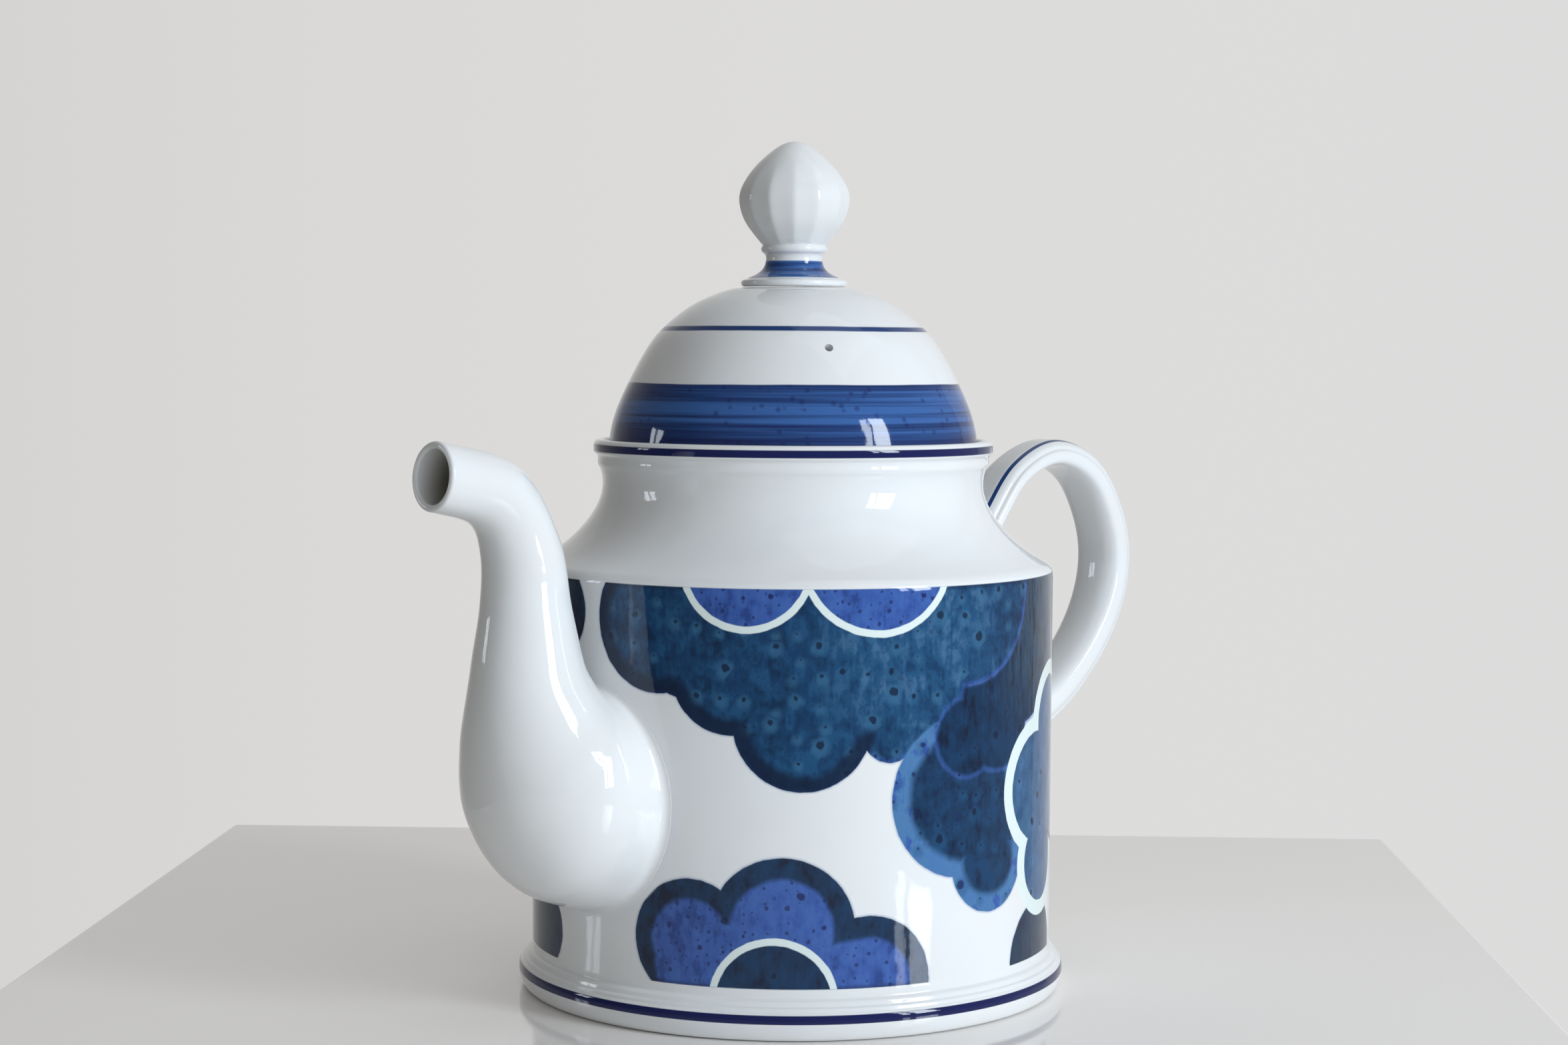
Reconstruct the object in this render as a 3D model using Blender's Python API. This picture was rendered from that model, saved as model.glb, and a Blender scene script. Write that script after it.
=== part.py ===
"""Porcelain pot for hot drinks: a straight-walled jug body with a lift-off domed lid.

Five separate pieces, one object each: pot_body, spout, handle, lid and lid_finial.
+Z is up, the table is z = 0, the spout points along +X and the handle along -X.
The origin is the middle of the pot's footprint box on the table, so the pot's own axis
stands a few millimetres towards the spout, where the handle reaches further out.
"""

import math

import bpy
import bmesh
from mathutils import Matrix, Vector

MM = 0.001

# Driving dimensions, in millimetres.
WALL_RADIUS = 62.5          # straight wall of the pot
WALL_THICKNESS = 4.0
WALL_TOP_Z = 100.0          # height of the sharp shoulder edge
FLANGE_RADIUS = 65.7        # foot moulding
RIM_RADIUS = 47.8
RIM_TOP_Z = 131.0
SEAT_Z = 128.5              # ledge inside the rim that carries the lid
THROAT_RADIUS = 41.5        # inside of the neck
FLOOR_Z = 7.0               # inside floor
SPOUT_REACH = 105.6         # spout mouth from the pot's axis
SPOUT_WALL = 4.6            # thick at the root, thinning to the lip
LIP_WALL = 1.7
SPOUT_ROOT_Z = 50.6         # middle of the spout's round root
HANDLE_REACH = 118.1        # outer face of the handle from the pot's axis
HANDLE_WIDTH = 14.6
LID_RADIUS = 44.2
SKIRT_RADIUS = 40.9
SKIRT_DEPTH = 10.8          # how far the lid's skirt reaches below the seat
STEAM_HOLE_RADIUS = 1.1
STEAM_HOLE_ANGLE = 61.3     # degrees round from the spout
STRAINER_HOLE_RADIUS = 2.5
STRAINER_RING_RADIUS = 10.5
GAP = 0.32                  # glazed joints and the lid's seat stand this far apart

ROUND_STEPS = 48            # facets round the pot's axis
TUBE_STEPS = 24             # facets round the spout
AXIS_X = (HANDLE_REACH - SPOUT_REACH) / 2


def clear_scene():
    for obj in list(bpy.data.objects):
        bpy.data.objects.remove(obj, do_unlink=True)


def make_material(name, colour, roughness):
    material = bpy.data.materials.new(name)
    material.use_nodes = True
    shader = material.node_tree.nodes["Principled BSDF"]
    shader.inputs["Base Color"].default_value = (*colour, 1.0)
    shader.inputs["Roughness"].default_value = roughness
    shader.inputs["Metallic"].default_value = 0.0
    return material


def add_object(name, bm, material):
    """Turns a closed bmesh into a named object, smooth but for its real edges."""
    bmesh.ops.recalc_face_normals(bm, faces=bm.faces)
    mesh = bpy.data.meshes.new(name)
    bm.to_mesh(mesh)
    bm.free()
    mesh.shade_smooth()
    mesh.set_sharp_from_angle(angle=math.radians(35))
    obj = bpy.data.objects.new(name, mesh)
    bpy.context.scene.collection.objects.link(obj)
    if material:
        mesh.materials.append(material)
    return obj


def subtract(obj, cutter):
    cutter.hide_render = True
    cutter.display_type = "WIRE"
    modifier = obj.modifiers.new("cut_" + cutter.name, "BOOLEAN")
    modifier.operation = "DIFFERENCE"
    modifier.solver = "EXACT"
    modifier.object = cutter


def lathe(outline):
    """Turns an outline of (radius, height) round the pot's axis into a closed solid."""
    bm = bmesh.new()
    verts = [bm.verts.new(((AXIS_X + r) * MM, 0.0, z * MM)) for r, z in outline]
    edges = [bm.edges.new(pair) for pair in zip(verts, verts[1:])]
    if outline[0][0] > 0:
        edges.append(bm.edges.new((verts[-1], verts[0])))
    bmesh.ops.spin(bm, geom=verts + edges, cent=(AXIS_X * MM, 0, 0), axis=(0, 0, 1),
                   angle=math.tau, steps=ROUND_STEPS, use_merge=True)
    bmesh.ops.remove_doubles(bm, verts=bm.verts, dist=1e-6)
    return bm


def loft(rings):
    """Skins a row of rings, which all have the same number of points, and caps both ends."""
    bm = bmesh.new()
    rows = [[bm.verts.new(Vector(p) * MM) for p in ring] for ring in rings]
    for low, high in zip(rows, rows[1:]):
        for i in range(len(low)):
            j = (i + 1) % len(low)
            bm.faces.new((low[i], low[j], high[j], high[i]))
    bm.faces.new(rows[0])
    bm.faces.new(rows[-1])
    return bm


def smooth_path(stations, per_span):
    """Catmull-Rom curve through stations of any number of values each."""
    points = [[2 * a - b for a, b in zip(stations[0], stations[1])], *stations,
              [2 * a - b for a, b in zip(stations[-1], stations[-2])]]
    path = []
    for k in range(1, len(points) - 2):
        p0, p1, p2, p3 = points[k - 1:k + 3]
        for step in range(per_span):
            t = step / per_span
            path.append([0.5 * (2 * b + (c - a) * t + (2 * a - 5 * b + 4 * c - d) * t * t
                                + (3 * b - a - 3 * c + d) * t ** 3)
                         for a, b, c, d in zip(p0, p1, p2, p3)])
    path.append(list(stations[-1]))
    return path


def outer_profile():
    """Outside of the pot from the foot ring up to the top of the rim."""
    return [
        (63.2, 0.0), (64.4, 0.7), (65.2, 1.8), (FLANGE_RADIUS, 3.6), (FLANGE_RADIUS, 5.2),
        (65.3, 6.4), (64.6, 6.9), (64.4, 7.6), (63.7, 8.1), (63.4, 9.0),
        (WALL_RADIUS, 9.9), (WALL_RADIUS, WALL_TOP_Z - 0.4), (62.1, WALL_TOP_Z + 0.9),
        (59.7, 102.7), (56.7, 104.6), (53.8, 106.9), (51.2, 109.3), (48.9, 112.1),
        (47.0, 115.1), (45.9, 118.2), (45.7, 121.2), (46.2, 123.9), (46.9, 125.5),
        (46.8, 126.6), (47.5, 127.7), (RIM_RADIUS, 129.0), (47.5, 130.3),
        (46.6, RIM_TOP_Z),
    ]


def inner_profile():
    """Inside of the pot from the rim down over the lid's seat to the floor."""
    return [
        (45.6, RIM_TOP_Z), (45.0, 130.4), (45.0, SEAT_Z), (THROAT_RADIUS + 0.4, SEAT_Z),
        (THROAT_RADIUS, SEAT_Z - 0.5), (THROAT_RADIUS, 119.0), (42.8, 114.6),
        (45.6, 110.4), (49.6, 106.2), (54.6, 102.4), (57.4, 99.2),
        (WALL_RADIUS - WALL_THICKNESS, 95.5), (WALL_RADIUS - WALL_THICKNESS, 16.0),
        (56.4, 10.6), (51.5, 7.8), (45.0, FLOOR_Z), (0.0, FLOOR_Z),
    ]


def grow(profile, distance):
    """Moves an open outline outwards by the same distance all along."""
    grown = []
    for k, (r, z) in enumerate(profile):
        before = profile[max(k - 1, 0)]
        after = profile[min(k + 1, len(profile) - 1)]
        run = Vector((after[0] - before[0], after[1] - before[1])).normalized()
        grown.append((r + run.y * distance, z - run.x * distance))
    return grown


def build_pot_body(material):
    foot = [(0.0, 2.6), (53.5, 2.6), (54.6, 1.4), (55.4, 0.0)]
    outline = foot + outer_profile() + inner_profile()
    body = add_object("pot_body", lathe(outline), material)
    subtract(body, strainer_cutter())
    return body


def strainer_cutter():
    """Seven drills through the wall behind the spout: one in the middle, six round it."""
    bm = bmesh.new()
    spots = [(0.0, 0.0)]
    spots += [(STRAINER_RING_RADIUS * math.cos(math.radians(60 * k)),
               STRAINER_RING_RADIUS * math.sin(math.radians(60 * k))) for k in range(6)]
    for y, z in spots:
        place = Matrix.Translation(Vector((AXIS_X + WALL_RADIUS - 2, y, SPOUT_ROOT_Z + z)) * MM)
        bmesh.ops.create_cone(bm, cap_ends=True, segments=12, depth=14 * MM,
                              radius1=STRAINER_HOLE_RADIUS * MM,
                              radius2=STRAINER_HOLE_RADIUS * MM,
                              matrix=place @ Matrix.Rotation(math.pi / 2, 4, "Y"))
    return add_object("strainer_cutter", bm, None)


def wall_cutter(name):
    """A solid pot shape one gap larger than the body, which trims what is luted to it."""
    outline = [(0.0, -GAP)] + grow(outer_profile(), GAP) + [(0.0, RIM_TOP_Z + GAP)]
    return add_object(name, lathe(outline), None)


def root_share(t):
    """1 at the spout's root, falling smoothly to 0 about a third of the way along it."""
    t = min(max((t - 0.10) / 0.20, 0.0), 1.0)
    return 1.0 - t * t * (3.0 - 2.0 * t)


def spout_rings(wall_root, wall_lip):
    """Round rings, each standing on a chord from the spout's lower side to its upper side."""
    chords = [  # lower side (out, up), upper side (out, up)
        (44.0, 24.8, 44.0, 76.4), (60.0, 24.6, 58.0, 76.6), (79.0, 30.5, 63.2, 76.9),
        (90.3, 45.0, 64.2, 77.6), (93.5, 62.0, 65.0, 79.2), (92.0, 81.0, 66.8, 83.5),
        (90.0, 95.0, 69.4, 95.0), (90.0, 106.5, 72.8, 111.5), (93.6, 113.8, 83.5, 127.0),
        (SPOUT_REACH, 117.2, SPOUT_REACH - 0.8, 132.8),
    ]
    path = smooth_path(chords, 3)
    pinch = 3.4     # the root is this much narrower on each side than a full circle
    rings = []
    for k, (low_x, low_z, high_x, high_z) in enumerate(path):
        low = Vector((AXIS_X + low_x, 0, low_z))
        high = Vector((AXIS_X + high_x, 0, high_z))
        wall = wall_root + (wall_lip - wall_root) * k / (len(path) - 1)
        up = (high - low).normalized()
        radius = (high - low).length / 2 - wall
        middle = (low + high) / 2
        sideways = radius - pinch * root_share(k / (len(path) - 1))
        rings.append([middle + up * radius * math.cos(a) + Vector((0, sideways * math.sin(a), 0))
                      for a in (math.tau * i / TUBE_STEPS for i in range(TUBE_STEPS))])
    return rings


def build_spout(material):
    spout = add_object("spout", loft(spout_rings(0.0, 0.0)), material)
    channel = spout_rings(SPOUT_WALL, LIP_WALL)
    past_mouth = [Vector(p) + Vector((6.0, 0, 0.3)) for p in channel[-1]]
    past_root = [Vector(p) - Vector((6.0, 0, 0)) for p in channel[0]]
    bore = add_object("spout_bore", loft([past_root, *channel, past_mouth]), None)
    subtract(spout, bore)
    subtract(spout, wall_cutter("spout_trim"))
    return spout


def build_handle(material):
    stations = [  # out from the axis, up, thickness
        (57.0, 97.5, 5.8), (65.5, 110.8, 5.6), (75.0, 121.4, 5.8), (89.0, 125.9, 7.2),
        (103.4, 119.8, 8.9), (112.3, 103.5, 10.2), (111.0, 87.4, 10.4),
        (101.0, 71.8, 10.2), (84.2, 58.8, 10.4), (56.0, 49.6, 11.6),
    ]
    profile = [  # half of the strap's section: parts of its thickness and of its half width
        (0.50, 0.38), (0.415, 0.60), (0.27, 0.80), (0.02, 0.985), (-0.25, 0.985),
        (-0.38, 0.88), (-0.50, 0.35),
    ]
    profile += [(a, -b) for a, b in reversed(profile)]
    path = smooth_path(stations, 3)
    half_width = HANDLE_WIDTH / 2
    rings = []
    for k, (out, up, thick) in enumerate(path):
        before = path[max(k - 1, 0)]
        after = path[min(k + 1, len(path) - 1)]
        run = Vector((after[0] - before[0], 0, after[1] - before[1])).normalized()
        outwards = Vector((-run.z, 0, run.x))
        section = [(a * thick, b * half_width) for a, b in profile]
        rings.append([Vector((AXIS_X - out, b, up)) + Vector((-outwards.x, 0, outwards.z)) * a
                      for a, b in section])
    handle = add_object("handle", loft(rings), material)
    subtract(handle, wall_cutter("handle_trim"))
    return handle


def build_lid(material):
    bottom = SEAT_Z + GAP
    outline = [
        (0.0, 163.0), (14.0, 162.2), (22.0, 159.8), (28.6, 155.4), (33.8, 148.0),
        (37.2, 139.4), (37.9, 132.0), (37.9, SEAT_Z - SKIRT_DEPTH),
        (SKIRT_RADIUS, SEAT_Z - SKIRT_DEPTH), (SKIRT_RADIUS, bottom),
        (LID_RADIUS - 0.4, bottom), (LID_RADIUS, bottom + 0.4), (LID_RADIUS, 131.2),
        (43.2, 134.8), (42.4, 137.6), (41.3, 140.7), (39.7, 144.2), (37.0, 149.6),
        (33.7, 155.0), (30.9, 157.8), (27.0, 161.1), (22.6, 164.1), (17.7, 166.0),
        (15.5, 166.8), (13.4, 167.3), (0.0, 167.3),
    ]
    lid = add_object("lid", lathe(outline), material)
    turn = Matrix.Rotation(math.radians(STEAM_HOLE_ANGLE), 4, "Z")
    slope = Matrix.Rotation(math.radians(58), 4, "Y")   # square to the dome there
    place = Matrix.Translation(Vector((AXIS_X, 0, 0)) * MM) @ turn
    place = place @ Matrix.Translation(Vector((33.4, 0, 152.0)) * MM) @ slope
    bm = bmesh.new()
    bmesh.ops.create_cone(bm, cap_ends=True, segments=12, depth=16 * MM,
                          radius1=STEAM_HOLE_RADIUS * MM, radius2=STEAM_HOLE_RADIUS * MM,
                          matrix=place)
    subtract(lid, add_object("steam_hole_cutter", bm, None))
    return lid


def build_finial(material):
    """Collar, waist, bead and fluted onion, turned and then pressed into twelve flutes."""
    outline = [
        (0.0, 167.3 + GAP), (12.3, 167.3 + GAP), (12.7, 168.3), (12.4, 169.2), (11.2, 169.5),
        (8.8, 170.6), (7.3, 171.9), (6.75, 173.4), (6.7, 175.1), (7.6, 175.6), (7.95, 176.4),
        (7.7, 177.3), (8.5, 178.4), (9.9, 180.0), (11.3, 181.9), (12.7, 184.3), (13.4, 187.2),
        (13.2, 189.7), (12.0, 192.6), (10.2, 195.2), (7.4, 198.1), (4.6, 200.4),
        (2.2, 201.7), (0.0, 202.2),
    ]
    bm = lathe(outline)
    flute_depth = 0.35
    for vert in bm.verts:
        across = Vector((vert.co.x - AXIS_X * MM, vert.co.y))
        height = vert.co.z / MM
        if height > 178.5 and across.length > 0:
            fade = math.sin(math.pi * (height - 178.5) / (202.2 - 178.5))
            wave = 0.5 - 0.5 * math.cos(12 * math.atan2(across.y, across.x))
            factor = 1 - flute_depth * MM * fade * wave / across.length
            vert.co.x = AXIS_X * MM + across.x * factor
            vert.co.y = across.y * factor
    return add_object("lid_finial", bm, material)


def main():
    clear_scene()
    white_glaze = make_material("white_glaze", (0.80, 0.82, 0.84), 0.12)
    blue_glaze = make_material("blue_decor_glaze", (0.10, 0.17, 0.36), 0.15)
    pale_blue = make_material("pale_blue_glaze", (0.42, 0.50, 0.68), 0.14)
    body = build_pot_body(blue_glaze)
    spout = build_spout(white_glaze)
    handle = build_handle(white_glaze)
    lid = build_lid(white_glaze)
    finial = build_finial(pale_blue)
    spout.parent = body
    handle.parent = body
    finial.parent = lid


main()
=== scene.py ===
import math

import bmesh
import bpy
from mathutils import Matrix, Vector


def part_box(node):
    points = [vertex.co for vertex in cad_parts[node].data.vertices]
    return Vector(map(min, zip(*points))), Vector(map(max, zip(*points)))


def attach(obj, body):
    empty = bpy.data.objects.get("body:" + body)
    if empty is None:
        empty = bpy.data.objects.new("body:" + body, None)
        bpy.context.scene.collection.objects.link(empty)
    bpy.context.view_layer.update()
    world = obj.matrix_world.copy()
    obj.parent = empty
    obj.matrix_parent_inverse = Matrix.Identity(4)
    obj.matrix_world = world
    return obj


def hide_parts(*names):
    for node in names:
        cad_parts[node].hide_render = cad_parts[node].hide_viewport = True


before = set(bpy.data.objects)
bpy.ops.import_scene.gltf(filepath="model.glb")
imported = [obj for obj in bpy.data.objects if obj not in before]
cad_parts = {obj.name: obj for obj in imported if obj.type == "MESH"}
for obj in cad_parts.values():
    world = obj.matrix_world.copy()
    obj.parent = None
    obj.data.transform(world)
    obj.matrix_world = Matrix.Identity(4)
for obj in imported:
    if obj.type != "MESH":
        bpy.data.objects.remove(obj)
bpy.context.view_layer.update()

mm = 0.001

potLow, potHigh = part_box("pot_body")
axisX = (potLow.x + potHigh.x) / 2      # the pot's turning axis stands a little off the origin
wallRadius = 0.0625
print("frame loaded, pot axis at x =", round(axisX * 1000, 2), "mm")


camera = {
    "roundFromSpout": 48.0,     # degrees from the spout's side, seen from above
    "distance": 0.6733,         # from the pot's axis
    "height": 0.1525,
    "tiltDown": 3.532,
    "turn": 0.178,
    "roll": 0.290,
    "lens": 64.31,
}


def addCamera(c):
    data = bpy.data.cameras.new("camera")
    data.sensor_fit = "HORIZONTAL"
    data.sensor_width = 36.0
    data.lens = c["lens"]
    data.clip_start = 0.01
    obj = bpy.data.objects.new("camera", data)
    bpy.context.scene.collection.objects.link(obj)
    a = math.radians(c["roundFromSpout"])
    place = Vector((axisX + c["distance"] * math.cos(a), c["distance"] * math.sin(a), c["height"]))
    heading = Matrix.Rotation(a + math.pi / 2 + math.radians(c["turn"]), 4, "Z")
    tilt = Matrix.Rotation(math.pi / 2 - math.radians(c["tiltDown"]), 4, "X")
    roll = Matrix.Rotation(math.radians(c["roll"]), 4, "Z")
    obj.matrix_world = Matrix.Translation(place) @ heading @ tilt @ roll
    bpy.context.scene.camera = obj


addCamera(camera)
print("camera placed")


class Signal:
    def __init__(self, bench, socket):
        self.bench = bench
        self.socket = socket

    def maths(self, operation, other=None):
        return self.bench.node("ShaderNodeMath", {"operation": operation}, {0: self, 1: other})

    def flipped(self, operation, other):
        return self.bench.node("ShaderNodeMath", {"operation": operation}, {0: other, 1: self})

    def __add__(self, other):
        return self.maths("ADD", other)

    def __radd__(self, other):
        return self.maths("ADD", other)

    def __sub__(self, other):
        return self.maths("SUBTRACT", other)

    def __rsub__(self, other):
        return self.flipped("SUBTRACT", other)

    def __mul__(self, other):
        return self.maths("MULTIPLY", other)

    def __rmul__(self, other):
        return self.maths("MULTIPLY", other)

    def __truediv__(self, other):
        return self.maths("DIVIDE", other)

    def __rtruediv__(self, other):
        return self.flipped("DIVIDE", other)

    def lower(self, other):
        return self.maths("MINIMUM", other)

    def higher(self, other):
        return self.maths("MAXIMUM", other)

    # 1 well below the edge, 0 well above it, with a soft step between
    def below(self, edge, soft):
        return self.bench.node("ShaderNodeMapRange", {"interpolation_type": "SMOOTHSTEP"},
                               {"Value": self, "From Min": edge + soft / 2,
                                "From Max": edge - soft / 2, "To Min": 0.0, "To Max": 1.0})

    def above(self, edge, soft):
        return 1 - self.below(edge, soft)

    def between(self, low, high, soft):
        return self.above(low, soft) * self.below(high, soft)


gloss = {
    "roughness": 0.05,
    "refraction": 1.5,
    "swell": (120, 0.8),        # scale and share of the glaze's long waves
    "grain": (900, 0.06),       # and of its short ones
    "depth": 0.14,
}


class Bench:
    # makes the nodes of one material or of the world
    def __init__(self, owner, coordinates="Object"):
        owner.use_nodes = True
        self.owner = owner
        self.tree = owner.node_tree
        self.place = self.node("ShaderNodeTexCoord", output=coordinates)

    def node(self, kind, settings=None, inputs=None, output=0):
        made = self.tree.nodes.new(kind)
        for key, value in (settings or {}).items():
            if key == "stops":
                self.fillRamp(made.color_ramp, value)
            else:
                setattr(made, key, value)
        for key, value in (inputs or {}).items():
            if isinstance(value, Signal):
                self.tree.links.new(value.socket, made.inputs[key])
            elif value is not None:
                made.inputs[key].default_value = value
        return Signal(self, made.outputs[output])

    def fillRamp(self, ramp, tones):
        ramp.interpolation = "B_SPLINE"
        for k, (position, tone) in enumerate(tones):
            stop = ramp.elements[k] if k < len(ramp.elements) else ramp.elements.new(position)
            stop.position = position
            stop.color = colour(tone)

    def split(self, vector, axis):
        return self.node("ShaderNodeSeparateXYZ", None, {0: vector}, axis)

    def join(self, x, y, z):
        return self.node("ShaderNodeCombineXYZ", None, {0: x, 1: y, 2: z})

    def stretch(self, scale, shift=(0, 0, 0)):
        return self.node("ShaderNodeMapping", None,
                         {"Vector": self.place, "Scale": scale, "Location": shift})

    def distance(self, here, there):
        return self.node("ShaderNodeVectorMath", {"operation": "DISTANCE"},
                         {0: here, 1: there}, "Value")

    def noise(self, scale, detail, rough=0.5, vector=None):
        return self.node("ShaderNodeTexNoise", None,
                         {"Vector": vector or self.place, "Scale": scale, "Detail": detail,
                          "Roughness": rough})

    def cells(self, scale):
        return self.node("ShaderNodeTexVoronoi", {"feature": "F1"},
                         {"Vector": self.place, "Scale": scale}, "Distance")

    def mix(self, share, under, over):
        # sockets 6, 7 and 2 are the Mix node's colours
        return self.node("ShaderNodeMix", {"data_type": "RGBA"},
                         {0: share, 6: colour(under), 7: colour(over)}, 2)

    def glaze(self, colours):
        swell, swellShare = gloss["swell"]
        grain, grainShare = gloss["grain"]
        ripple = self.noise(swell, 1.0) * swellShare + self.noise(grain, 2.0) * grainShare
        raised = self.node("ShaderNodeBump", None,
                           {"Height": ripple, "Distance": gloss["depth"] * mm, "Strength": 1.0})
        shader = self.tree.nodes["Principled BSDF"]
        self.tree.links.new(colours.socket, shader.inputs["Base Color"])
        self.tree.links.new(raised.socket, shader.inputs["Normal"])
        shader.inputs["Roughness"].default_value = gloss["roughness"]
        shader.inputs["IOR"].default_value = gloss["refraction"]
        return self.owner


def colour(value):
    return value if isinstance(value, Signal) else (*value, 1.0)


paint = {
    "white": (0.79, 0.815, 0.835),
    "warmWhite": (0.79, 0.785, 0.765),
    "channel": (0.34, 0.32, 0.26),       # painted shade: the inside of the spout is coloured a dark brownish grey for the shade in its channel
    "reserve": (0.74, 0.84, 0.83),       # the masked lines between painted shapes
    "inkTeal": (0.0006, 0.009, 0.035),
    "deepTeal": (0.001, 0.024, 0.072),
    "teal": (0.003, 0.041, 0.118),
    "lightTeal": (0.010, 0.076, 0.184),
    "paleTeal": (0.038, 0.143, 0.275),
    "hazeTeal": (0.062, 0.152, 0.285),
    "brownTeal": (0.012, 0.038, 0.060),
    "mistTeal": (0.050, 0.088, 0.120),
    "deepBlue": (0.018, 0.056, 0.235),
    "periwinkle": (0.036, 0.098, 0.365),
    "lightBlue": (0.055, 0.140, 0.430),
    "skyBlue": (0.068, 0.190, 0.390),
    "greyBlue": (0.032, 0.100, 0.225),
    "cobalt": (0.011, 0.044, 0.165),
    "lightCobalt": (0.038, 0.120, 0.355),
    "navy": (0.004, 0.010, 0.082),
}


def whiteGround(bench):
    share = bench.noise(45, 3.0).between(0.45, 0.75, 0.3) * 0.35
    return bench.mix(share, paint["white"], paint["warmWhite"])


def radiusFromAxis(bench):
    x = bench.split(bench.place, 0) - axisX
    y = bench.split(bench.place, 1)
    return (x * x + y * y).maths("SQRT")


# All lengths are in mm. Painted shapes on the wall are unions of discs: (degrees round from the
# spout, height, radius). The back of the pot repeats the front, turned half round.
wallPaint = {
    "field": (11.4, 100.1),     # heights of the painted field
    "fieldFrom": 60.5,          # distance from the axis: the inside of the pot stays white
    "bigCloud": [(19.1, 92.6, 16.4), (35.6, 82.0, 14.4), (50.3, 71.0, 15.7)],
    "bigCloudFill": [(27.8, 91, 16), (41.6, 89, 17), (59.9, 84, 20), (73.7, 79, 15),
                     (68.6, 68.0, 6.6), (87.4, 99, 21.5)],
    "cap": [(87.4, 99, 21.5)],
    "darkCloud": [(93.8, 74, 9), (87.4, 66, 9), (96.6, 69.5, 12), (104.8, 84, 17),
                  (118.0, 90, 22)],
    "rightCloud": [(85.9, 52.7, 18.4), (94.4, 37.6, 12.3)],
    "rightCloudCore": [(86.6, 53.0, 14.6), (94.4, 37.8, 8.5), (95.0, 47.0, 10.0)],
    "islands": [(125.0, 65.5, 12.6), (114.0, 51.5, 14.5), (116.8, 34.0, 11.6), (134.0, 50, 17)],
    "lowCloud": [(26.9, 21.5, 13.8), (46.2, 24.3, 16.4), (63.9, 12.5, 15.0)],
    "lowCloudCore": [(26.9, 21.5, 9.2), (28.0, 16.0, 9.6), (46.2, 24.3, 11.6), (63.9, 12.5, 10.1),
                     (34.7, 17.5, 8.0), (60.0, 11.8, 10.2)],
    "lowMoon": [(44.5, 8.2, 13.8)],
    "topMoons": [(38.5, 105.75, 14.7), (66.1, 107.7, 17.6)],
    "leaves": [(114.0, 11.5, 13.2), (169.3, 93, 11), (162.0, 18, 9.3), (154.0, 15, 12)],
    "paleSpot": (76, 88, 21, 16),       # degrees, height, radius, softness
    "stainSpot": (116, 100, 26, 30),
    "crisp": 0.30,              # softness of a clean edge
    "fuzz": 0.35,               # how far the clean edges wander
    "waver": 2.0,               # and the inner, brushed ones
    "thinLine": 0.8,            # half of a masked line's width
    "edgeLine": (12.0, 99.4),   # the field is darker outside these heights
    "footLine": (4.25, 6.2),
    "rimLine": (128.25, 130.0),
    "linesFrom": 46.2,
    "spoutRoot": (50.6, 27.5),  # height and radius of the white left round it
    "dotSpacing": 5.6,
    "smallDots": 0.45,
}


# glaze pits: dark dots of several sizes, each in a paler ring that has run down a little
pits = {
    "randomness": 0.8,
    "growth": 0.15,             # share of the spacing that the largest dots gain
    "wander": 1.1,
    "run": 0.6,
    "core": (0.22, 0.42),       # radius and softness
    "ring": (1.1, 1.7),
    "ringGrowth": 1.4,
    "coreChance": (0.40, 0.1),
    "ringChance": (0.46, 0.2),
}


def onWall(degrees, height):
    a = math.radians(degrees)
    return (wallRadius * math.cos(a), wallRadius * math.sin(a), height * mm)


def union(bench, where, discs):
    edge = None
    for degrees, height, radius in discs:
        disc = bench.distance(where, onWall(degrees, height)) - radius * mm
        edge = disc if edge is None else edge.lower(disc)
    return edge


def spot(bench, where, degrees, height, radius, soft):
    return bench.distance(where, onWall(degrees, height)).below(radius * mm, soft * mm)


class Dots:
    def __init__(self, bench, flat, spacing):
        cells = {"feature": "F1", "voronoi_dimensions": "2D"}
        scale = {"Vector": flat, "Scale": 1 / (spacing * mm), "Randomness": pits["randomness"]}
        place = bench.node("ShaderNodeTexVoronoi", cells, scale, "Position")
        chance = bench.node("ShaderNodeTexVoronoi", cells, scale, "Color")
        luck = bench.split(chance, 0)
        second = bench.split(chance, 1)
        extra = second * second * second * (spacing * pits["growth"] * mm)
        wander = (bench.noise(700, 2.0) - 0.5) * (pits["wander"] * mm)
        away = bench.distance(flat, place) + wander
        lifted = bench.node("ShaderNodeVectorMath", {"operation": "ADD"},
                            {0: flat, 1: (0, pits["run"] * mm, 0)})
        ringAway = bench.distance(lifted, place) + wander
        core, coreSoft = pits["core"]
        ring, ringSoft = pits["ring"]
        self.core = (away - extra).below(core * mm, coreSoft * mm) * luck.above(*pits["coreChance"])
        self.ring = ((ringAway - extra * pits["ringGrowth"]).below(ring * mm, ringSoft * mm)
                     * luck.above(*pits["ringChance"]))


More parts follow.
